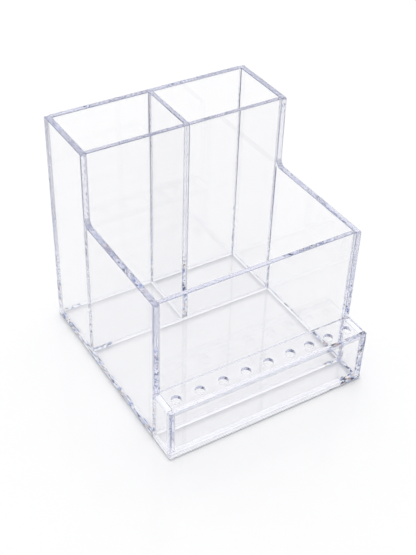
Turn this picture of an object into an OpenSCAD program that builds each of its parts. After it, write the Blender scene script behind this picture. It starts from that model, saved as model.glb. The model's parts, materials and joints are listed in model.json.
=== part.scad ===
// Clear acrylic desk organizer, glued up from flat sheets.
// Two tall cells at the back, one wide open compartment in front of them,
// and a low tray along the front whose top plate is drilled for pencils.
// X is the width, Y runs from the front to the back, Z is up.
// The origin is the centre of the footprint, on the surface the base rests on.

/* [Overall size] */
// Width across the side walls, and of the base
body_w = 180; // [172:1:240]
// Depth from the tray front to the back face
body_d = 196; // [180:1:260]
// Height of the two tall cells, base included
tall_h = 196; // [160:1:240]
// Height of the open front compartment, base included
low_h = 134; // [80:1:140]
// Height of the pencil tray, base and top plate included
tray_h = 49; // [35:1:70]

/* [Layout] */
// Depth from the back face to the front of the tall cells
tall_d = 64; // [45:1:80]
// Depth of the pencil tray, from the side walls' front ends to the tray front
tray_d = 24; // [20:1:40]
// How far the front wall sits behind the side walls' front ends
front_setback = 1; // [0.5:0.5:3]
// Radius of the inside corner where the side wall steps down
step_radius = 6; // [2:0.5:12]
// Rounding of the outline's outside corners
corner_radius = 1.5; // [0.5:0.25:3]

/* [Sheet thickness] */
// Base, back, side walls, tray front and tray ends
shell_t = 5; // [4:0.5:6]
// Middle wall, divider and front wall
inner_t = 4; // [3:0.5:6]
// Drilled top plate of the tray
plate_t = 3; // [2:0.5:4]

/* [Pencil holes] */
// Diameter of a hole
hole_dia = 8; // [6:0.5:10]
// Number of holes
hole_count = 9; // [6:1:9]
// How many holes from the left stand at the wide spacing
wide_count = 6; // [1:1:6]
// Spacing of the holes on the left
wide_pitch = 20.4; // [12:0.1:20.5]
// Spacing of the remaining holes on the right
close_pitch = 18.1; // [12:0.1:18.5]

/* [Hidden] */

// Segments in a full circle
arc_fn = 64;
// Colour of a clear sheet, faintly lavender
clear_tint = [0.87, 0.89, 0.95, 0.35];

// Planes across the depth, all in this frame
back_y = body_d / 2;
front_y = -body_d / 2;
middle_y = back_y - tall_d;
side_front_y = front_y + tray_d;
front_wall_y = side_front_y + front_setback;

// Width between the side walls
clear_w = body_w - 2 * shell_t;
// The walls stand on the base
floor_z = shell_t;

// Room for the tray's ends, between the side walls' ends and the tray front
tray_end_d = tray_d - shell_t;
tray_wall_h = tray_h - plate_t - floor_z;

hole_y = front_y + tray_d / 2;
close_count = hole_count - wide_count;
hole_span = (wide_count - 1) * wide_pitch + close_count * close_pitch;

// Distance of hole number i from the first one
function hole_run(i) =
    min(i, wide_count - 1) * wide_pitch + max(0, i - wide_count + 1) * close_pitch;

// What rounding takes off an outside corner at the origin, its outline towards +X +Y
module corner_waste() {
    difference() {
        translate([-1, -1])
            square(corner_radius + 1);
        translate([corner_radius, corner_radius])
            circle(r = corner_radius, $fn = arc_fn);
    }
}

// A flat sheet centred on X, between two planes across the depth
module sheet(width, front, back, bottom, top) {
    color(clear_tint)
        translate([-width / 2, front, bottom])
            cube([width, back - front, top - bottom]);
}

// Plan of a full-width sheet whose front corners are rounded
module full_width_plan(front, back) {
    difference() {
        translate([-body_w / 2, front])
            square([body_w, back - front]);
        translate([-body_w / 2, front])
            corner_waste();
        translate([body_w / 2, front])
            rotate(90)
                corner_waste();
    }
}

// Outline of a side wall seen from the side: Y across, Z up, standing on the base
module side_outline() {
    difference() {
        union() {
            translate([side_front_y, floor_z])
                square([back_y - side_front_y, low_h - floor_z]);
            translate([middle_y, floor_z])
                square([tall_d, tall_h - floor_z]);
            // Fills the inside corner of the step down to the open compartment
            difference() {
                translate([middle_y - step_radius, low_h - 1])
                    square(step_radius + 1);
                translate([middle_y - step_radius, low_h + step_radius])
                    circle(r = step_radius, $fn = arc_fn);
            }
        }
        translate([back_y, tall_h])
            rotate(180)
                corner_waste();
        translate([middle_y, tall_h])
            rotate(270)
                corner_waste();
        translate([side_front_y, low_h])
            rotate(270)
                corner_waste();
    }
}

// One side wall, its lower X face at the given X
module side_wall(x) {
    color(clear_tint)
        translate([x, 0, 0])
            rotate([90, 0, 90])
                linear_extrude(height = shell_t)
                    side_outline();
}

// One end of the tray, its lower X face at the given X
module tray_end(x) {
    color(clear_tint)
        translate([x, front_y + shell_t, floor_z])
            cube([shell_t, tray_end_d, tray_wall_h]);
}

module base_plate() {
    color(clear_tint)
        linear_extrude(height = floor_z)
            full_width_plan(front_y, back_y);
}

module back_wall() {
    sheet(clear_w, back_y - shell_t, back_y, floor_z, tall_h);
}

module left_side_wall() {
    side_wall(-body_w / 2);
}

module right_side_wall() {
    side_wall(body_w / 2 - shell_t);
}

module middle_wall() {
    sheet(clear_w, middle_y, middle_y + inner_t, floor_z, tall_h);
}

module divider() {
    sheet(inner_t, middle_y + inner_t, back_y - shell_t, floor_z, tall_h);
}

module front_wall() {
    sheet(clear_w, front_wall_y, front_wall_y + inner_t, floor_z, low_h);
}

module tray_front() {
    color(clear_tint)
        translate([0, 0, floor_z])
            linear_extrude(height = tray_wall_h)
                full_width_plan(front_y, front_y + shell_t);
}

module tray_left_end() {
    tray_end(-body_w / 2);
}

module tray_right_end() {
    tray_end(body_w / 2 - shell_t);
}

module tray_top_plate() {
    color(clear_tint)
        translate([0, 0, tray_h - plate_t])
            linear_extrude(height = plate_t)
                difference() {
                    union() {
                        full_width_plan(front_y, side_front_y);
                        // Rear strip that reaches in between the side walls to the front wall
                        translate([-clear_w / 2, side_front_y - 1])
                            square([clear_w, front_setback + 1]);
                    }
                    for (i = [0 : hole_count - 1])
                        translate([hole_run(i) - hole_span / 2, hole_y])
                            circle(d = hole_dia, $fn = arc_fn);
                }
}

base_plate();
back_wall();
left_side_wall();
right_side_wall();
middle_wall();
divider();
front_wall();
tray_front();
tray_left_end();
tray_right_end();
tray_top_plate();
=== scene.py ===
"""Clear acrylic desk organizer: eleven bonded sheets on a pale floor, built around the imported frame."""
import json
from math import acos, cos, pi, radians, sin, tan

import bmesh
import bpy
from mathutils import Matrix, Vector, noise


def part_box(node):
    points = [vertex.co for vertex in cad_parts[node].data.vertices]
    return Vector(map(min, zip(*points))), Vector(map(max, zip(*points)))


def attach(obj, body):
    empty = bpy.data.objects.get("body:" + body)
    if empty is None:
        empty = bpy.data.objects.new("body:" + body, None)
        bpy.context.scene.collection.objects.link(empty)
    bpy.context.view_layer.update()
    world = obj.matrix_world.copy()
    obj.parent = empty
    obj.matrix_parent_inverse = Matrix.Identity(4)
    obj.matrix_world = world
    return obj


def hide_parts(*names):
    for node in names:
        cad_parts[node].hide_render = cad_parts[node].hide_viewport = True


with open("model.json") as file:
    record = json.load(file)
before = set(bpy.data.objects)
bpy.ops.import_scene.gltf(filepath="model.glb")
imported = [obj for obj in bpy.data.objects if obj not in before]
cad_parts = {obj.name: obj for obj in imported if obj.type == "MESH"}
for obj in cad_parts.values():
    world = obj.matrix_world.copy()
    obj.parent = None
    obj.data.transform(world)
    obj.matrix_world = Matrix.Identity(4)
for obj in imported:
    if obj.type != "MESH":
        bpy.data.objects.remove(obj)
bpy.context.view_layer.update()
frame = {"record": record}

bl_info = {
    "name": "Acrylic Desk Organizer",
    "version": (1, 0, 0),
    "blender": (4, 5, 0),
    "location": "3D View > Sidebar > Organizer",
    "description": "Builds a clear desk organizer from bonded acrylic sheets",
    "category": "Add Mesh",
}

BODY = "root"
# Mesh attribute that tells a clear piece's faces apart, and its values
EDGE_MARK = "cut_edge"
BROAD_FACE = 0.0
CLEAR_BEAD = 0.5
CUT_EDGE = 1.0
ROUNDING = 2.0
# Mark of the base's foot rounding, whose near-black tint paints a contact shadow along its bottom edge
SHADOWED_FOOT_ROUNDING = 3.0
# Mesh attribute of the milky cement: the share of the joint it fills, or PLAIN where it has no painted glint
# flecks at all
FILL_MARK = "fill"
NEARLY_FULL = 0.99
FULL = 1.0
PLAIN = 2.0
# Shares that the film up a wall's end fills, slice by slice from its foot; it is flecked all over with painted
# glints
FILM_FILLS = (0.88, 0.68, 0.48, 0.28)

# Edges that bend more than this get rounded
SHARP = radians(40)
# Cosines over which a face counts as looking along a direction
ROUGHLY_ALONG = 0.99
ALONG = 0.999
EXACTLY_ALONG = 0.9999
# Straight pieces in a rounded corner of an outline, and in the hollow of a bead
CORNER_STEPS = 8
HOLLOW_STEPS = 6

# Distance between the rings of an upright bead, and of a level one
BEAD_STEP = 0.0008
FOOT_STEP = 0.001
# How fast a bead's radius changes: per metre of an upright bead, and per ring of a level one
BEAD_WAVES = 400
FOOT_WAVES = 0.13
# Least radius of an upright bead, as a share of the usual one, along its run and at its top
LEAST_RADIUS = 0.25
LEAST_AT_TOP = 0.1

# Colour of the cement, and the ramp of painted glints, dark, blue, brown and white, from which each fleck draws
# its own by chance
MILKY = (0.97, 0.97, 0.98)
GLINT_FLECKS = (
    (0.0, (0.02, 0.03, 0.08)),
    (0.18, (0.06, 0.11, 0.30)),
    (0.27, (0.36, 0.46, 0.76)),
    (0.36, MILKY),
    (0.64, MILKY),
    (0.71, (0.45, 0.28, 0.19)),
    (0.77, MILKY),
    (1.0, (0.50, 0.55, 0.70)),
)
# Depths between which the front shift of the flecks turns into the back one
SHIFT_FRONT_Y = -0.05
SHIFT_BACK_Y = -0.03
# Stretch over which the flecks set in, outwards
FLECK_FADE = 0.002
# Noise levels between which a patch of flecks, and one of stripes, sets in
FLECK_PATCH = (0.40, 0.46)
STRIPE_PATCH = (0.45, 0.6)
# Painted glints across a polishing stripe: blue and brown colours of refracted light, and a white glint
STRIPE_BLUE_GLINT = (0.42, 0.50, 0.78)
STRIPE_BROWN_GLINT = (0.72, 0.61, 0.54)
STRIPE_GLINT = (0.97, 0.97, 0.99)

# Directions from which the stage is lit
OVERHEAD = (0, 0, 1)
BACKDROP = (0.35, 0.94, 0)

# Where a point of a sheet's own plane goes: across, up, and through the thickness
PLANES = {
    "x": lambda u, v, w: (w, u, v),
    "y": lambda u, v, w: (u, w, v),
    "z": lambda u, v, w: (u, v, w),
}


# ---------------------------------------------------------------- sizes and colours

class SheetSizes(bpy.types.PropertyGroup):
    """Sizes of the sheets' edges and of the cement between them"""
    bite: bpy.props.FloatProperty(
        name="Bond bite", default=0.00008, min=0.0, unit="LENGTH",
        description="How far a bonded edge reaches into its neighbour, so that no air film is left")
    edge_round: bpy.props.FloatProperty(
        name="Edge rounding", default=0.0005, min=0.0, unit="LENGTH",
        description="Radius that polishing leaves on the free edges")
    foot_round: bpy.props.FloatProperty(
        name="Foot rounding", default=0.0009, min=0.0, unit="LENGTH",
        description="Rounding of the base plate's edges")
    edge_steps: bpy.props.IntProperty(
        name="Edge steps", default=5, min=1,
        description="Facets across the rounding of an edge")
    bead_radius: bpy.props.FloatProperty(
        name="Bead radius", default=0.0007, min=0.0, unit="LENGTH",
        description="Radius of the cement bead up an inside corner")
    bead_wander: bpy.props.FloatProperty(
        name="Bead wander", default=0.08, min=0.0, max=0.5, subtype="FACTOR",
        description="How much a bead's radius changes along its run")
    foot_wander: bpy.props.FloatProperty(
        name="Foot wander", default=1.2, min=0.0, subtype="FACTOR",
        description="How much more it changes near its foot, where cement gathers")
    foot_height: bpy.props.FloatProperty(
        name="Foot height", default=0.022, unit="LENGTH",
        description="Height of that lumpy stretch")
    foot_radius: bpy.props.FloatProperty(
        name="Foot bead radius", default=0.0011, unit="LENGTH",
        description="Radius of the bead around a cell's foot")
    tray_radius: bpy.props.FloatProperty(
        name="Tray bead radius", default=0.0030, unit="LENGTH",
        description="Radius of the thick bead behind the foot of the tray front")
    film_top: bpy.props.FloatProperty(
        name="Film top", default=0.060, unit="LENGTH",
        description="Height at which the milky film up a joint runs out")
    film_inset: bpy.props.FloatProperty(
        name="Film inset", default=0.0005, unit="LENGTH",
        description="How far the milky film stays in from a joint's edges")
    # Depth of the film in the base under the outer sheets, which paints the bright band along the base's edges
    film_depth: bpy.props.FloatProperty(
        name="Film depth", default=0.0032, unit="LENGTH",
        description="How deep the milky cement has sunk into the base under its outer sheets")
    film_grow: bpy.props.FloatProperty(
        name="Film growth", default=0.00002, unit="LENGTH", precision=5,
        description="How far the film stands out of the bond bite on either side")
    top_taper: bpy.props.FloatProperty(
        name="Top taper", default=0.004, unit="LENGTH",
        description="Stretch over which a bead runs out at the top")
    corner_radius: bpy.props.FloatProperty(
        name="Corner radius", default=0.0015, min=0.0, unit="LENGTH",
        description="Rounding of the outside corners of an outline")
    step_radius: bpy.props.FloatProperty(
        name="Step radius", default=0.006, min=0.0, unit="LENGTH",
        description="Inside radius where a side wall steps down")
    hole_steps: bpy.props.IntProperty(
        name="Hole steps", default=64, min=12, description="Straight pieces around a hole")


class AcrylicLook(bpy.types.PropertyGroup):
    """Looks of the acrylic and the cement"""
    ior: bpy.props.FloatProperty(
        name="Refraction", default=1.49, description="Index of refraction of acrylic")
    absorb_colour: bpy.props.FloatVectorProperty(
        name="Depth colour", subtype="COLOR", size=3, default=(0.70, 0.72, 0.85),
        description="Colour that the sheet takes on along a long way through it")
    absorb_density: bpy.props.FloatProperty(
        name="Depth density", default=3.0,
        description="How fast light fades inside the sheet, per metre")
    face_tint: bpy.props.FloatVectorProperty(
        name="Face tint", subtype="COLOR", size=3, default=(0.968, 0.968, 0.972),
        description="What a broad face lets through")
    edge_tint: bpy.props.FloatVectorProperty(
        name="Edge tint", subtype="COLOR", size=3, default=(0.97, 0.972, 0.992),
        description="What a cut edge lets through")
    # Painted shade: this tint darkens the thin roundings of the edges, and the top plate's cut edges, into dark
    # outline lines
    rounding_shade_tint: bpy.props.FloatVectorProperty(
        name="Rounding tint", subtype="COLOR", size=3, default=(0.74, 0.75, 0.83),
        description="What the thin rounding of an edge lets through")
    # Painted shadow: this near-black tint turns the base's foot rounding into a dark contact line
    foot_shadow_tint: bpy.props.FloatVectorProperty(
        name="Foot tint", subtype="COLOR", size=3, default=(0.15, 0.155, 0.18),
        description="What the rounding at the foot of the base lets through")
    stripe_scale: bpy.props.FloatProperty(
        name="Stripe scale", default=105.0,
        description="Fineness of the slanted polishing stripes along the edges")
    stripe_height: bpy.props.FloatProperty(
        name="Stripe height", default=0.0001, unit="LENGTH", precision=5,
        description="Depth of those stripes")
    stripe_rough: bpy.props.FloatProperty(
        name="Stripe roughness", default=0.006, min=0.0, max=1.0, precision=4,
        description="Roughness of the striped stretches")
    stripe_from: bpy.props.FloatProperty(
        name="Stripe from", default=0.055, unit="LENGTH",
        description="Height above which the stripes begin")
    stripe_full: bpy.props.FloatProperty(
        name="Stripe full", default=0.08, unit="LENGTH",
        description="Height above which they are at full strength")
    patch_scale: bpy.props.FloatProperty(
        name="Patch scale", default=28.0,
        description="Fineness of the patches in which the stripes come and go, per metre")
    fleck_scale: bpy.props.FloatProperty(
        name="Fleck scale", default=460.0,
        description="Fineness of the flecks in the cement, per metre")
    fleck_length: bpy.props.FloatProperty(
        name="Fleck length", default=2.4,
        description="How many times longer than wide a fleck is")
    fleck_lean: bpy.props.FloatVectorProperty(
        name="Fleck lean", subtype="EULER", size=3, default=(0.8, 0.5, 0.0),
        description="How far the flecks lean over")
    fleck_bend: bpy.props.FloatProperty(
        name="Fleck bend", default=0.003, unit="LENGTH", precision=4,
        description="How far bubbles push the outlines of the flecks about")
    fleck_from: bpy.props.FloatProperty(
        name="Fleck from", default=0.076, unit="LENGTH",
        description="How far out from the middle the cement is full of flecks")
    fleck_shift_front: bpy.props.FloatProperty(
        name="Front fleck shift", default=0.007, unit="LENGTH",
        description="How much nearer they begin on the right, and further on the left, at the front")
    fleck_shift_back: bpy.props.FloatProperty(
        name="Back fleck shift", default=-0.010, unit="LENGTH",
        description="The same further back")
    fleck_patch_scale: bpy.props.FloatProperty(
        name="Fleck patch scale", default=40.0,
        description="Fineness of the patches in which the flecks come and go, per metre")
    bubble_scale: bpy.props.FloatProperty(
        name="Bubble scale", default=500.0,
        description="Fineness of the bubbles in the cement, per metre")
    bubble_height: bpy.props.FloatProperty(
        name="Bubble height", default=0.0002, unit="LENGTH", precision=5,
        description="How far the bubbles stand out")
    cement_rough: bpy.props.FloatProperty(
        name="Cement roughness", default=0.35, min=0.0, max=1.0,
        description="Roughness of the cement")
    cement_glow: bpy.props.FloatProperty(
        name="Cement glow", default=0.16, min=0.0,
        description="Glow that stands for the light a bead gathers")
    wave_height: bpy.props.FloatProperty(
        name="Face waviness", default=0.00002, unit="LENGTH", precision=5,
        description="Unevenness of the faces")


class StageSetup(bpy.types.PropertyGroup):
    """Camera, light and floor"""
    azimuth: bpy.props.FloatProperty(
        name="Azimuth", default=radians(-32.54), subtype="ANGLE",
        description="Turn of the camera about the object, from the front")
    elevation: bpy.props.FloatProperty(
        name="Elevation", default=radians(38.64), subtype="ANGLE",
        description="Height of the camera as an angle")
    roll: bpy.props.FloatProperty(
        name="Roll", default=radians(2.11), subtype="ANGLE",
        description="Tilt of the camera about its own axis")
    distance: bpy.props.FloatProperty(
        name="Distance", default=0.850, unit="LENGTH",
        description="From the camera to the point it looks at")
    target: bpy.props.FloatVectorProperty(
        name="Target", default=(0.0118, 0.0177, 0.0557), subtype="TRANSLATION",
        description="Point the camera looks at")
    lens: bpy.props.FloatProperty(
        name="Lens", default=66.2,
        description="Focal length in millimetres")
    bright_light: bpy.props.FloatProperty(
        name="Bright light", default=1.32, min=0.0,
        description="Strength of the overhead panel and the backdrop")
    dim_light: bpy.props.FloatProperty(
        name="Dim light", default=0.4, min=0.0,
        description="Strength of the room around them")
    overhead_from: bpy.props.FloatProperty(
        name="Overhead from", default=0.35,
        description="Where the overhead panel begins, as the height of a direction")
    overhead_full: bpy.props.FloatProperty(
        name="Overhead full", default=0.75,
        description="Where the overhead panel is at full strength")
    backdrop_from: bpy.props.FloatProperty(
        name="Backdrop from", default=0.3,
        description="Where the backdrop begins, as how far a direction points to the back")
    backdrop_full: bpy.props.FloatProperty(
        name="Backdrop full", default=0.8,
        description="Where the backdrop is at full strength")
    bounces: bpy.props.IntProperty(
        name="Bounces", default=64, min=1,
        description="How many faces light may pass on its way through the sheets")
    floor_gap: bpy.props.FloatProperty(
        name="Floor gap", default=0.0002, unit="LENGTH",
        description="Air film between the base and the floor")
    floor_size: bpy.props.FloatProperty(
        name="Floor size", default=12.0, unit="LENGTH",
        description="Side of the square floor")
    floor_colour: bpy.props.FloatVectorProperty(
        name="Floor colour", subtype="COLOR", size=3, default=(0.90, 0.90, 0.905),
        description="Colour of the floor")
    floor_rough: bpy.props.FloatProperty(
        name="Floor roughness", default=0.12, min=0.0, max=1.0,
        description="Roughness of the floor")


# ---------------------------------------------------------------- materials

def new_material(name):
    """An empty node material and its node tree."""
    mat = bpy.data.materials.new(name)
    mat.use_nodes = True
    tree = mat.node_tree
    tree.nodes.clear()
    return mat, tree


def add_node(tree, kind, **settings):
    """Adds a shader node. A setting is a property of the node, or an input when its name ends in _in."""
    node = tree.nodes.new("ShaderNode" + kind)
    for key, value in settings.items():
        if key.endswith("_in"):
            socket = node.inputs[key[:-3].replace("_", " ")]
            if isinstance(value, bpy.types.NodeSocket):
                tree.links.new(value, socket)
            else:
                socket.default_value = value
        else:
            setattr(node, key, value)
    return node


def math_node(tree, operation, *values, clamp=False):
    """A math node over values, each a number or a socket. Returns its output."""
    node = add_node(tree, "Math", operation=operation, use_clamp=clamp)
    for socket, value in zip(node.inputs, values):
        if isinstance(value, bpy.types.NodeSocket):
            tree.links.new(value, socket)
        else:
            socket.default_value = value
    return node.outputs[0]


def mix_colour(tree, factor, one, two):
    """Mixes two colours, each a colour or a socket, by factor. Returns the result."""
    node = add_node(tree, "Mix", data_type="RGBA")
    for socket, value in zip((node.inputs[0], node.inputs[6], node.inputs[7]), (factor, one, two)):
        if isinstance(value, bpy.types.NodeSocket):
            tree.links.new(value, socket)
        else:
            socket.default_value = value
    return node.outputs[2]


def fade_node(tree, value, start, end, low=0.0, high=1.0):
    """A smooth step of value from low at start to high at end."""
    node = add_node(tree, "MapRange", interpolation_type="SMOOTHSTEP", Value_in=value, From_Min_in=start,
                    From_Max_in=end, To_Min_in=low, To_Max_in=high)
    return node.outputs["Result"]


def ramp_node(tree, value, stops):
    """A colour ramp through (position, colour) stops, even between them."""
    node = add_node(tree, "ValToRGB", Fac_in=value)
    marks = node.color_ramp.elements
    while len(marks) < len(stops):
        marks.new(1.0)
    for mark, (place, colour) in zip(marks, stops):
        mark.position = place
        mark.color = (*colour, 1)
    return node.outputs["Color"]


def edge_marks_group():
    """What sawing and polishing leave on a sheet.

    Each kind of face has its own tint; the roundings' tint is painted shade that draws dark outlines, and the
    base's foot rounding is painted near black as a contact shadow. The cut edges have stripes above a certain
    height, whose blue, brown and white colours are painted glints, and every face has a slight waviness.
    """
    look = bpy.context.scene.organizer_acrylic
    group = bpy.data.node_groups.new("edge_marks", "ShaderNodeTree")
    group.interface.new_socket("Edge", in_out="INPUT", socket_type="NodeSocketFloat")
    group.interface.new_socket("Tint", in_out="OUTPUT", socket_type="NodeSocketColor")
    group.interface.new_socket("Roughness", in_out="OUTPUT", socket_type="NodeSocketFloat")
    group.interface.new_socket("Height", in_out="OUTPUT", socket_type="NodeSocketFloat")
    given = group.nodes.new("NodeGroupInput")
    result = group.nodes.new("NodeGroupOutput")
    edge = math_node(group, "MINIMUM", given.outputs["Edge"], CUT_EDGE)
    rounding = math_node(group, "SUBTRACT", given.outputs["Edge"], CUT_EDGE, clamp=True)
    foot = math_node(group, "SUBTRACT", given.outputs["Edge"], ROUNDING, clamp=True)
    place = add_node(group, "TexCoord").outputs["Object"]

    # Slanted polishing stripes that come and go along an edge: their relief is real, their colours are painted
    # glints
    stripes = add_node(group, "TexWave", bands_direction="DIAGONAL", Vector_in=place,
                       Scale_in=look.stripe_scale, Distortion_in=3.0, Detail_in=1.0,
                       Detail_Scale_in=1.5).outputs["Fac"]
    patches = add_node(group, "TexNoise", Vector_in=place, Scale_in=look.patch_scale,
                       Detail_in=1.0).outputs["Fac"]
    height = add_node(group, "SeparateXYZ", Vector_in=place).outputs["Z"]
    striped = math_node(group, "MULTIPLY", fade_node(group, patches, *STRIPE_PATCH),
                        fade_node(group, height, look.stripe_from, look.stripe_full))
    stripe = math_node(group, "MULTIPLY", stripes, striped)
    glint_streaks = ramp_node(group, stripes, (
        (0.0, look.edge_tint), (0.35, look.edge_tint), (0.5, STRIPE_BLUE_GLINT), (0.62, STRIPE_BROWN_GLINT),
        (0.75, STRIPE_GLINT), (1.0, look.edge_tint)))
    edge_colour = mix_colour(group, striped, (*look.edge_tint, 1), glint_streaks)

    tint = mix_colour(group, edge, (*look.face_tint, 1), edge_colour)
    # Painted shade: the roundings darken into dark outline lines
    tint = mix_colour(group, rounding, tint, (*look.rounding_shade_tint, 1))
    # Painted shadow: the base's foot rounding goes nearly black, a contact shadow along its bottom edge
    tint = mix_colour(group, foot, tint, (*look.foot_shadow_tint, 1))
    group.links.new(tint, result.inputs["Tint"])
    rough = math_node(group, "MULTIPLY", math_node(group, "MULTIPLY", edge, striped), look.stripe_rough)
    group.links.new(rough, result.inputs["Roughness"])

    relief = math_node(group, "MULTIPLY", stripe, look.stripe_height)
    on_edge = math_node(group, "MULTIPLY", relief, edge)
    on_face = math_node(group, "MULTIPLY", patches, look.wave_height)
    group.links.new(math_node(group, "ADD", on_edge, on_face), result.inputs["Height"])
    return group


def acrylic_material():
    """Clear acrylic: polished faces, tinted cut edges, roundings darkened with painted shade, and a faint depth
    colour.
    """
    look = bpy.context.scene.organizer_acrylic
    mat, tree = new_material("polished_acrylic")
    group = bpy.data.node_groups.get("edge_marks") or edge_marks_group()
    marks = add_node(tree, "Group", node_tree=group)
    edge = add_node(tree, "Attribute", attribute_name=EDGE_MARK)
    tree.links.new(edge.outputs["Fac"], marks.inputs["Edge"])
    bump = add_node(tree, "Bump", Strength_in=1.0, Distance_in=1.0, Height_in=marks.outputs["Height"])
    body = add_node(tree, "BsdfPrincipled", IOR_in=look.ior, Transmission_Weight_in=1.0,
                    Base_Color_in=marks.outputs["Tint"], Roughness_in=marks.outputs["Roughness"],
                    Normal_in=bump.outputs["Normal"])
    depth = add_node(tree, "VolumeAbsorption", Color_in=(*look.absorb_colour, 1),
                     Density_in=look.absorb_density)
    out = add_node(tree, "OutputMaterial", Surface_in=body.outputs["BSDF"], Volume_in=depth.outputs["Volume"])
    out.is_active_output = True
    return mat


def cement_material():
    """Cured cement in the joints: milky white with a painted glow, and flecks of painted dark, blue and brown
    glints.

    A full joint has them towards the sides, and a partly filled one all over. A plain one has none.
    """
    look = bpy.context.scene.organizer_acrylic
    mat, tree = new_material("cured_cement")
    place = add_node(tree, "TexCoord").outputs["Object"]
    apart = add_node(tree, "SeparateXYZ", Vector_in=place)
    bubbles = add_node(tree, "TexNoise", Vector_in=place, Scale_in=look.bubble_scale, Detail_in=1.0)
    bent = add_node(tree, "VectorMath", operation="MULTIPLY_ADD")
    tree.links.new(bubbles.outputs["Color"], bent.inputs[0])
    bent.inputs[1].default_value = (look.fleck_bend,) * 3
    tree.links.new(place, bent.inputs[2])
    # Leans the flecks over and draws them out into short dashes
    leaning = add_node(tree, "Mapping", vector_type="TEXTURE", Vector_in=bent.outputs["Vector"],
                       Rotation_in=look.fleck_lean, Scale_in=(1.0, 1.0, look.fleck_length))
    cells = add_node(tree, "TexVoronoi", Vector_in=leaning.outputs["Vector"], Scale_in=look.fleck_scale)
    shade = add_node(tree, "SeparateColor", Color_in=cells.outputs["Color"])
    flecks = ramp_node(tree, shade.outputs["Red"], GLINT_FLECKS)
    fill = add_node(tree, "Attribute", attribute_name=FILL_MARK).outputs["Fac"]
    # The flecks reach further in on the right at the front, and on the left further back
    shift = add_node(tree, "MapRange", Value_in=apart.outputs["Y"], From_Min_in=SHIFT_FRONT_Y,
                     From_Max_in=SHIFT_BACK_Y, To_Min_in=look.fleck_shift_front,
                     To_Max_in=look.fleck_shift_back)
    shifted = math_node(tree, "ADD", apart.outputs["X"], shift.outputs["Result"])
    outer = fade_node(tree, math_node(tree, "ABSOLUTE", shifted), look.fleck_from,
                      look.fleck_from + FLECK_FADE)
    patches = add_node(tree, "TexNoise", Vector_in=place, Scale_in=look.fleck_patch_scale, Detail_in=0.0)
    # Where the painted glint flecks show
    glint_mask = math_node(tree, "MULTIPLY", outer, fade_node(tree, patches.outputs["Fac"], *FLECK_PATCH))
    glint_mask = math_node(tree, "MAXIMUM", glint_mask, math_node(tree, "LESS_THAN", fill, NEARLY_FULL))
    glint_mask = math_node(tree, "MULTIPLY", glint_mask, math_node(tree, "LESS_THAN", fill, (FULL + PLAIN) / 2))
    colour = mix_colour(tree, glint_mask, (*MILKY, 1), flecks)
    # Where the joint isn't filled, only some of the cells hold cement
    held = math_node(tree, "GREATER_THAN", shade.outputs["Green"], math_node(tree, "SUBTRACT", FULL, fill))
    bump = add_node(tree, "Bump", Strength_in=0.5, Distance_in=look.bubble_height,
                    Height_in=bubbles.outputs["Fac"])
    # Painted light: the glow stands for light that the sheets pipe down to the joints, so the milky cement
    # reads as bright bands
    body = add_node(tree, "BsdfPrincipled", Base_Color_in=colour, Roughness_in=look.cement_rough,
                    IOR_in=look.ior, Emission_Color_in=colour, Emission_Strength_in=look.cement_glow,
                    Alpha_in=held, Normal_in=bump.outputs["Normal"])
    add_node(tree, "OutputMaterial", Surface_in=body.outputs["BSDF"])
    return mat


def shared_material(name, make):
    """The material of that name, made on first use."""
    return bpy.data.materials.get(name) or make()


# ---------------------------------------------------------------- mesh helpers

def rounded_outline(corners):
    """A closed outline through (u, v, radius) corners, each rounded by an arc that is tangent to its sides."""
    points = []
    for i, (u, v, radius) in enumerate(corners):
        here = Vector((u, v))
        to_last = (Vector(corners[i - 1][:2]) - here).normalized()
        to_next = (Vector(corners[(i + 1) % len(corners)][:2]) - here).normalized()
        if radius <= 0:
            points.append(here)
            continue
        half = acos(max(-1.0, min(1.0, to_last.dot(to_next)))) / 2
        turn = pi - 2 * half
        centre = here + (to_last + to_next).normalized() * (radius / sin(half))
        start = here + to_last * (radius / tan(half)) - centre
        end = here + to_next * (radius / tan(half)) - centre
        for k in range(CORNER_STEPS + 1):
            t = k / CORNER_STEPS
            sweep = (start.normalized() * sin((1 - t) * turn) + end.normalized() * sin(t * turn)) / sin(turn)
            points.append(centre + sweep * radius)
    return points


def circle(u, v, radius, steps):
    """A closed outline of a circle about (u, v)."""
    return [Vector((u + radius * cos(2 * pi * k / steps), v + radius * sin(2 * pi * k / steps)))
            for k in range(steps)]


def new_piece(name, bm):
    """Turns a bmesh into an object of the scene."""
    mesh = bpy.data.meshes.new(name)
    bm.to_mesh(mesh)
    bm.free()
    piece = bpy.data.objects.new(name, mesh)
    bpy.context.scene.collection.objects.link(piece)
    return piece


def side_vector(side):
    """The direction of a side that is written like "-x" or "+z"."""
    return Vector([(side[1] == k) * (-1 if side[0] == "-" else 1) for k in "xyz"])


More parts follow.
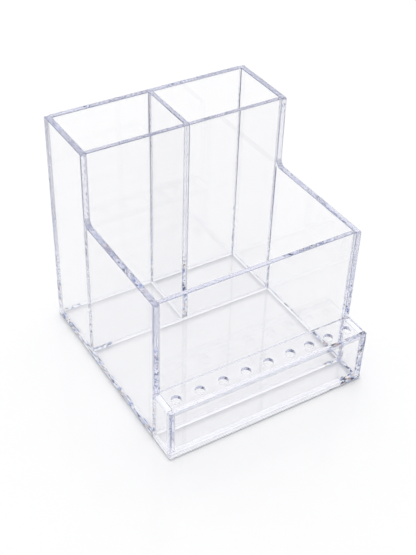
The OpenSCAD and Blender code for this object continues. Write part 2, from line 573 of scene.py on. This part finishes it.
def cut_sheet(name, axis, low, high, outline, holes=(), bonded=(), broad=None, rounding=None):
    """A sheet cut to outline, with holes, from low to high through axis.

    The edges of the bonded sides stay square and the others are rounded. broad is the axis that the sheet's
    polished faces look along, if it isn't the one it is extruded along.
    """
    sizes = bpy.context.scene.organizer_sheets
    closed = [side_vector(side) for side in bonded]
    place = PLANES[axis]
    bm = bmesh.new()
    mark = bm.faces.layers.float.new(EDGE_MARK)
    rims = []
    for loop in (outline, *holes):
        verts = [bm.verts.new(place(p[0], p[1], low)) for p in loop]
        rims += [bm.edges.new((verts[i - 1], verts[i])) for i in range(len(verts))]
    if holes:
        bmesh.ops.triangle_fill(bm, use_beauty=True, edges=rims)
    else:
        bm.faces.new(bm.verts)
    through = Vector(place(0, 0, high - low))
    grown = bmesh.ops.extrude_face_region(bm, geom=bm.faces[:])["geom"]
    bmesh.ops.translate(bm, vec=through, verts=[g for g in grown if isinstance(g, bmesh.types.BMVert)])
    bmesh.ops.recalc_face_normals(bm, faces=bm.faces[:])
    free = [e for e in bm.edges if len(e.link_faces) == 2 and e.calc_face_angle() > SHARP
            and not any(f.normal.dot(c) > ROUGHLY_ALONG for f in e.link_faces for c in closed)]
    rounded = bmesh.ops.bevel(bm, geom=free, offset=rounding or sizes.edge_round, segments=sizes.edge_steps,
                              profile=0.5, affect="EDGES", clamp_overlap=True)["faces"]
    bmesh.ops.recalc_face_normals(bm, faces=bm.faces[:])
    across = side_vector("+" + (broad or axis))
    for face in bm.faces:
        face[mark] = BROAD_FACE if abs(face.normal.dot(across)) > ALONG else CUT_EDGE
        face.smooth = max(abs(c) for c in face.normal) < EXACTLY_ALONG
    for face in rounded:
        face[mark] = ROUNDING
    return new_piece(name, bm)


def raise_marks(piece, least, value):
    """Sets the edge mark of every face that has at least a certain one."""
    for mark in piece.data.attributes[EDGE_MARK].data:
        if mark.value >= least:
            mark.value = value


def bead_rings(length, seed):
    """Heights along an upright bead and its radius there: lumpy near the foot, and thin at the very top."""
    sizes = bpy.context.scene.organizer_sheets
    count = round(length / BEAD_STEP)
    rings = []
    for k in range(count + 1):
        along = length * k / count
        lump = sizes.bead_wander + sizes.foot_wander * max(0.0, 1 - along / sizes.foot_height)
        wave = noise.noise(Vector((along * BEAD_WAVES, seed, 0.5)))
        size = sizes.bead_radius * max(LEAST_RADIUS, 1 + lump * wave)
        near_top = min(1.0, (length - along) / sizes.top_taper)
        rings.append((along, size * max(LEAST_AT_TOP, (1 - (1 - near_top) ** 2) ** 0.5)))
    return rings


def fillet_profile(size):
    """Hollow profile of a bead in an inside corner, as (u, v) pairs. Its back reaches into both sheets."""
    bite = bpy.context.scene.organizer_sheets.bite
    profile = [(-bite, -bite), (size, -bite)]
    for k in range(HOLLOW_STEPS + 1):
        turn = -pi / 2 - k / HOLLOW_STEPS * pi / 2
        profile.append((size + size * cos(turn), size + size * sin(turn)))
    profile.append((-bite, size))
    return profile


def sweep_bead(bm, rings, out_a, out_b):
    """Adds one bead through rings, each a point and a radius. It fills the corner between out_a and out_b."""
    loops = []
    for at, size in rings:
        loops.append([bm.verts.new(at + out_a * u + out_b * v) for u, v in fillet_profile(size)])
    count = len(loops[0])
    for one, two in zip(loops, loops[1:]):
        for k in range(count):
            face = bm.faces.new((one[k - 1], one[k], two[k], two[k - 1]))
            # Only the hollow is smooth: the first three sides and the last one lie against the sheets
            face.smooth = 3 <= k <= count - 2
    bm.faces.new(loops[0])
    bm.faces.new(loops[-1])


def bead_cell(name, low, high):
    """Clear beads up the four corners of a cell that spans low to high, as one piece."""
    sizes = bpy.context.scene.organizer_sheets
    bm = bmesh.new()
    for x in (0, 1):
        for y in (0, 1):
            foot = Vector(((low, high)[x][0], (low, high)[y][1], low[2] - sizes.bite))
            rings = [(foot + Vector((0, 0, along)), size)
                     for along, size in bead_rings(high[2] - foot.z, len(name) + 7.3 * x + 3.1 * y)]
            sweep_bead(bm, rings, Vector((1 - 2 * x, 0, 0)), Vector((0, 1 - 2 * y, 0)))
    bmesh.ops.recalc_face_normals(bm, faces=bm.faces[:])
    mark = bm.faces.layers.float.new(EDGE_MARK)
    for face in bm.faces:
        face[mark] = CLEAR_BEAD
    piece = new_piece(name, bm)
    piece.data.materials.append(shared_material("polished_acrylic", acrylic_material))
    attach(piece, BODY)
    return piece


def foot_rings(start, end, radius, seed):
    """Points and radii along a level bead from start to end."""
    wander = bpy.context.scene.organizer_sheets.bead_wander
    count = round((end - start).length / FOOT_STEP)
    rings = []
    for k in range(count + 1):
        wave = noise.noise(Vector((k * FOOT_WAVES, seed * 50, 1.5)))
        rings.append((start.lerp(end, k / count), radius * (1 + wander * wave)))
    return rings


def foot_beads(name, low, high, radii):
    """Milky beads around the foot of a cell, as one piece. radii are for its front, back, left and right."""
    sizes = bpy.context.scene.organizer_sheets
    bm = bmesh.new()
    z = low[2]
    inset = sizes.foot_radius
    for side in (0, 1):
        y = (low, high)[side][1]
        rings = foot_rings(Vector((low[0] + inset, y, z)), Vector((high[0] - inset, y, z)), radii[side], y)
        sweep_bead(bm, rings, Vector((0, 1 - 2 * side, 0)), Vector((0, 0, 1)))
        x = (low, high)[side][0]
        rings = foot_rings(Vector((x, low[1] + inset, z)), Vector((x, high[1] - inset, z)),
                           radii[2 + side], x)
        sweep_bead(bm, rings, Vector((1 - 2 * side, 0, 0)), Vector((0, 0, 1)))
    bmesh.ops.recalc_face_normals(bm, faces=bm.faces[:])
    mark = bm.faces.layers.float.new(FILL_MARK)
    for face in bm.faces:
        face[mark] = FULL
    return cement_piece(name, bm)


def film_box(bm, low, high, flat, amount):
    """Adds a flat film from low to high.

    It stays in from the joint's edges, and reaches round the bond bite along the flat axis. amount is its mark.
    """
    sizes = bpy.context.scene.organizer_sheets
    mark = bm.faces.layers.float.get(FILL_MARK) or bm.faces.layers.float.new(FILL_MARK)
    low, high = Vector(low), Vector(high)
    for k in range(3):
        if k == flat:
            low[k] -= sizes.bite + sizes.film_grow
            high[k] += sizes.bite + sizes.film_grow
        else:
            low[k] += sizes.film_inset
            high[k] -= sizes.film_inset
    verts = [bm.verts.new((x, y, z))
             for x in (low.x, high.x) for y in (low.y, high.y) for z in (low.z, high.z)]
    for quad in ((0, 1, 3, 2), (4, 6, 7, 5), (0, 4, 5, 1), (2, 3, 7, 6), (0, 2, 6, 4), (1, 5, 7, 3)):
        bm.faces.new([verts[k] for k in quad])[mark] = amount


def joint_film(node, ends=None, over=False, depth=0.0):
    """The milky film of cement under a wall, up its ends along the ends axis and on its top, as one piece.

    depth is how far the film under the wall reaches down into the base.
    """
    sizes = bpy.context.scene.organizer_sheets
    bm = bmesh.new()
    low, high = (Vector(c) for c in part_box(node))
    if node == "tray_front":
        low.x += sizes.corner_radius
        high.x -= sizes.corner_radius
    film_box(bm, (low.x, low.y, low.z - depth), (high.x, high.y, low.z), 2, FULL)
    if over:
        film_box(bm, (low.x, low.y, high.z), high, 2, PLAIN)
    fills = FILM_FILLS if ends else ()
    for k, fill in enumerate(fills):
        rise = (min(high.z, sizes.film_top) - low.z) / len(fills)
        axis = "xyz".index(ends)
        for side in (low[axis], high[axis]):
            start = Vector((low.x, low.y, low.z + rise * k))
            end = Vector((high.x, high.y, low.z + rise * (k + 1)))
            start[axis] = side
            end[axis] = side
            film_box(bm, start, end, axis, fill)
    bmesh.ops.recalc_face_normals(bm, faces=bm.faces[:])
    return cement_piece(node.replace("_", ".") + ".film", bm)


def cement_piece(name, bm):
    """Turns a bmesh into a piece of milky cement."""
    piece = new_piece(name, bm)
    piece.data.materials.append(shared_material("cured_cement", cement_material))
    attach(piece, BODY)
    return piece


def stand_in(piece, node):
    """Gives a sheet its material and body, and hides the frame's own solid of it."""
    piece.data.materials.append(shared_material("polished_acrylic", acrylic_material))
    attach(piece, BODY)
    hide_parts(node)


def flat_sheet(node, axis, bonded, radii=(0, 0, 0, 0), rounding=None):
    """A rectangular sheet where the frame has node. bonded names the sides that reach into a neighbour."""
    bite = bpy.context.scene.organizer_sheets.bite
    low, high = (list(c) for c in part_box(node))
    for side in bonded:
        k = "xyz".index(side[1])
        if side[0] == "-":
            low[k] -= bite
        else:
            high[k] += bite
    thick = "xyz".index(axis)
    a, b = [k for k in range(3) if k != thick]
    corners = [(low[a], low[b]), (high[a], low[b]), (high[a], high[b]), (low[a], high[b])]
    outline = rounded_outline([(u, v, r) for (u, v), r in zip(corners, radii)])
    piece = cut_sheet(node.replace("_", ".") + ".sheet", axis, low[thick], high[thick], outline,
                      bonded=bonded, rounding=rounding)
    stand_in(piece, node)
    return piece


# ---------------------------------------------------------------- operators

class ORGANIZER_OT_stage(bpy.types.Operator):
    """Lays the pale floor, sets the soft light and places the camera"""
    bl_idname = "organizer.stage"
    bl_label = "Floor, light and camera"

    def execute(self, context):
        setup = context.scene.organizer_stage
        self.floor(setup)
        self.world(context, setup)
        self.camera(context, setup)
        context.scene.view_settings.view_transform = "Standard"
        cycles = context.scene.cycles
        cycles.blur_glossy = 0.0
        cycles.max_bounces = setup.bounces
        cycles.transmission_bounces = setup.bounces
        cycles.glossy_bounces = setup.bounces
        cycles.transparent_max_bounces = setup.bounces
        return {"FINISHED"}

    def floor(self, setup):
        """A flat, slightly glossy floor just under the base."""
        mesh = bpy.data.meshes.new("floor")
        half = setup.floor_size / 2
        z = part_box("base_plate")[0].z - setup.floor_gap
        corners = [(-half, -half, z), (half, -half, z), (half, half, z), (-half, half, z)]
        mesh.from_pydata(corners, [], [(0, 1, 2, 3)])
        floor = bpy.data.objects.new("floor", mesh)
        bpy.context.scene.collection.objects.link(floor)
        mat, tree = new_material("pale_floor")
        paint = add_node(tree, "BsdfPrincipled", Base_Color_in=(*setup.floor_colour, 1),
                         Roughness_in=setup.floor_rough)
        add_node(tree, "OutputMaterial", Surface_in=paint.outputs["BSDF"])
        mesh.materials.append(mat)

    def world(self, context, setup):
        """A bright panel overhead, a bright backdrop and a dim room at the sides and behind the camera."""
        world = bpy.data.worlds.new("soft_light")
        world.use_nodes = True
        context.scene.world = world
        tree = world.node_tree
        tree.nodes.clear()
        view = add_node(tree, "TexCoord").outputs["Generated"]
        strengths = []
        for way, start, full in ((OVERHEAD, setup.overhead_from, setup.overhead_full),
                                 (BACKDROP, setup.backdrop_from, setup.backdrop_full)):
            toward = add_node(tree, "VectorMath", operation="DOT_PRODUCT")
            tree.links.new(view, toward.inputs[0])
            toward.inputs[1].default_value = Vector(way).normalized()
            strengths.append(fade_node(tree, toward.outputs["Value"], start, full,
                                       setup.dim_light, setup.bright_light))
        sky = add_node(tree, "Background", Color_in=(1, 1, 1, 1),
                       Strength_in=math_node(tree, "MAXIMUM", *strengths))
        add_node(tree, "OutputWorld", Surface_in=sky.outputs["Background"])

    def camera(self, context, setup):
        """A camera that looks at the target from the set direction and distance."""
        data = bpy.data.cameras.new("camera")
        data.lens = setup.lens
        data.clip_start = 0.01
        data.clip_end = 100.0
        camera = bpy.data.objects.new("camera", data)
        away = Vector((sin(setup.azimuth) * cos(setup.elevation),
                       -cos(setup.azimuth) * cos(setup.elevation), sin(setup.elevation)))
        aim = (-away).to_track_quat("-Z", "Y").to_matrix() @ Matrix.Rotation(setup.roll, 3, "Z")
        camera.matrix_world = Matrix.Translation(Vector(setup.target) + away * setup.distance) @ aim.to_4x4()
        context.scene.collection.objects.link(camera)
        context.scene.camera = camera


class ORGANIZER_OT_base(bpy.types.Operator):
    """Lays the base plate that every wall stands on"""
    bl_idname = "organizer.base"
    bl_label = "Base plate"

    def execute(self, context):
        sizes = context.scene.organizer_sheets
        r = sizes.corner_radius
        base = flat_sheet("base_plate", "z", ("+z",), (r, r, 0, 0), sizes.foot_round)
        # The base's foot rounding takes its own mark, for the painted contact shadow
        raise_marks(base, ROUNDING, SHADOWED_FOOT_ROUNDING)
        return {"FINISHED"}


class ORGANIZER_OT_sides(bpy.types.Operator):
    """Stands the two side walls, which step down from the tall cells to the open compartment"""
    bl_idname = "organizer.sides"
    bl_label = "Side walls"

    def execute(self, context):
        sizes = context.scene.organizer_sheets
        r = sizes.corner_radius
        step_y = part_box("middle_wall")[0].y
        low_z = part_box("front_wall")[1].z
        for side in ("left", "right"):
            node = side + "_side_wall"
            low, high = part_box(node)
            foot = low.z - sizes.bite
            outline = rounded_outline([
                (low.y, foot, 0), (high.y, foot, 0), (high.y, high.z, r), (step_y, high.z, r),
                (step_y, low_z, sizes.step_radius), (low.y, low_z, r),
            ])
            piece = cut_sheet(side + ".side.wall.sheet", "x", low.x, high.x, outline, bonded=("-z",))
            stand_in(piece, node)
        return {"FINISHED"}


class ORGANIZER_OT_walls(bpy.types.Operator):
    """Stands the back, middle and front walls between the sides, and the divider between the cells"""
    bl_idname = "organizer.walls"
    bl_label = "Inner walls"

    def execute(self, context):
        for node in ("back_wall", "middle_wall", "front_wall"):
            flat_sheet(node, "y", ("-x", "+x", "-z"))
        flat_sheet("divider", "x", ("-y", "+y", "-z"))
        return {"FINISHED"}


class ORGANIZER_OT_tray(bpy.types.Operator):
    """Builds the pencil tray: front, two ends and the drilled top plate"""
    bl_idname = "organizer.tray"
    bl_label = "Pencil tray"

    def execute(self, context):
        sizes = context.scene.organizer_sheets
        bite = sizes.bite
        r = sizes.corner_radius
        low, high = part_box("tray_front")
        outline = rounded_outline([
            (low.x, low.y, r), (high.x, low.y, r), (high.x, high.y, 0), (low.x, high.y, 0),
        ])
        front = cut_sheet("tray.front.sheet", "z", low.z - bite, high.z + bite, outline,
                          bonded=("-z", "+z"), broad="y")
        stand_in(front, "tray_front")
        for side in ("left", "right"):
            flat_sheet(f"tray_{side}_end", "x", ("-y", "+y", "-z", "+z"))
        low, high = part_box("tray_top_plate")
        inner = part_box("front_wall")[1].x
        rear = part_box("left_side_wall")[0].y
        outline = rounded_outline([
            (low.x, low.y, r), (high.x, low.y, r), (high.x, rear + bite, 0), (inner, rear + bite, 0),
            (inner, high.y + bite, 0), (-inner, high.y + bite, 0), (-inner, rear + bite, 0),
            (low.x, rear + bite, 0),
        ])
        holes = [circle(m["pos_m"][0], m["pos_m"][1], m["dims"]["r_mm"] / 1000, sizes.hole_steps)
                 for m in frame["record"]["mounts"] if m["kind"] == "bore"]
        piece = cut_sheet("tray.top.plate.sheet", "z", low.z, high.z, outline, holes,
                          bonded=("+y",), rounding=sizes.edge_round / 2)
        # Every cut edge of the top plate, round the holes too, takes the rounding mark and so its painted dark
        # outline
        raise_marks(piece, CUT_EDGE, ROUNDING)
        stand_in(piece, "tray_top_plate")
        return {"FINISHED"}


class ORGANIZER_OT_bonds(bpy.types.Operator):
    """Runs the clear beads up the inside corners and the milky ones around the feet of the cells"""
    bl_idname = "organizer.bonds"
    bl_label = "Cement beads"

    def execute(self, context):
        floor_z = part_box("base_plate")[1].z
        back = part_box("back_wall")
        inner = back[1].x
        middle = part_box("middle_wall")
        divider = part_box("divider")
        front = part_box("front_wall")
        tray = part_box("tray_front")
        cells = {
            "left.cell": ((-inner, middle[1].y, floor_z), (divider[0].x, back[0].y, back[1].z)),
            "right.cell": ((divider[1].x, middle[1].y, floor_z), (inner, back[0].y, back[1].z)),
            "open.compartment": ((-inner, front[1].y, floor_z), (inner, middle[0].y, front[1].z)),
            "tray": ((-inner, tray[1].y, floor_z), (inner, front[0].y, tray[1].z)),
        }
        sizes = context.scene.organizer_sheets
        thin = sizes.foot_radius
        for name, (low, high) in cells.items():
            bead_cell(name + ".cement", low, high)
            first = sizes.tray_radius if name == "tray" else thin
            foot_beads(name + ".foot.cement", low, high, (first, thin, thin, thin))
        return {"FINISHED"}


class ORGANIZER_OT_films(bpy.types.Operator):
    """Lays the milky cement films, partly painted light, under the walls, low up their ends and over the tray's
    ends
    """
    bl_idname = "organizer.films"
    bl_label = "Cement films"

    def execute(self, context):
        for node in ("back_wall", "middle_wall", "front_wall"):
            joint_film(node, ends="x")
        joint_film("divider", ends="y")
        # The film deep in the base under the outer sheets paints the bright band along the base's edges, a
        # painted highlight
        depth = context.scene.organizer_sheets.film_depth
        for node in ("left_side_wall", "right_side_wall", "tray_front"):
            joint_film(node, depth=depth)
        joint_film("tray_left_end", over=True, depth=depth)
        joint_film("tray_right_end", ends="y", over=True, depth=depth)
        return {"FINISHED"}


STEPS = (ORGANIZER_OT_stage, ORGANIZER_OT_base, ORGANIZER_OT_sides, ORGANIZER_OT_walls, ORGANIZER_OT_tray,
         ORGANIZER_OT_bonds, ORGANIZER_OT_films)


class ORGANIZER_PT_panel(bpy.types.Panel):
    """Lists the steps that build the organizer"""
    bl_idname = "ORGANIZER_PT_panel"
    bl_label = "Desk organizer"
    bl_space_type = "VIEW_3D"
    bl_region_type = "UI"
    bl_category = "Organizer"

    def draw(self, context):
        for step in STEPS:
            self.layout.operator(step.bl_idname)
        for place, kind in GROUPS:
            box = self.layout.box()
            for name in kind.__annotations__:
                box.prop(getattr(context.scene, place), name)


GROUPS = (("organizer_sheets", SheetSizes), ("organizer_acrylic", AcrylicLook), ("organizer_stage", StageSetup))


def register():
    """Makes the settings, steps and panel known to Blender."""
    for name, group in GROUPS:
        bpy.utils.register_class(group)
        setattr(bpy.types.Scene, name, bpy.props.PointerProperty(type=group))
    for step in (*STEPS, ORGANIZER_PT_panel):
        bpy.utils.register_class(step)


def unregister():
    """Takes them out again."""
    for step in (ORGANIZER_PT_panel, *STEPS):
        bpy.utils.unregister_class(step)
    for name, group in GROUPS:
        delattr(bpy.types.Scene, name)
        bpy.utils.unregister_class(group)


def main():
    """Builds the organizer step by step."""
    register()
    for step in STEPS:
        group, name = step.bl_idname.split(".")
        getattr(getattr(bpy.ops, group), name)()


if __name__ == "__main__":
    main()
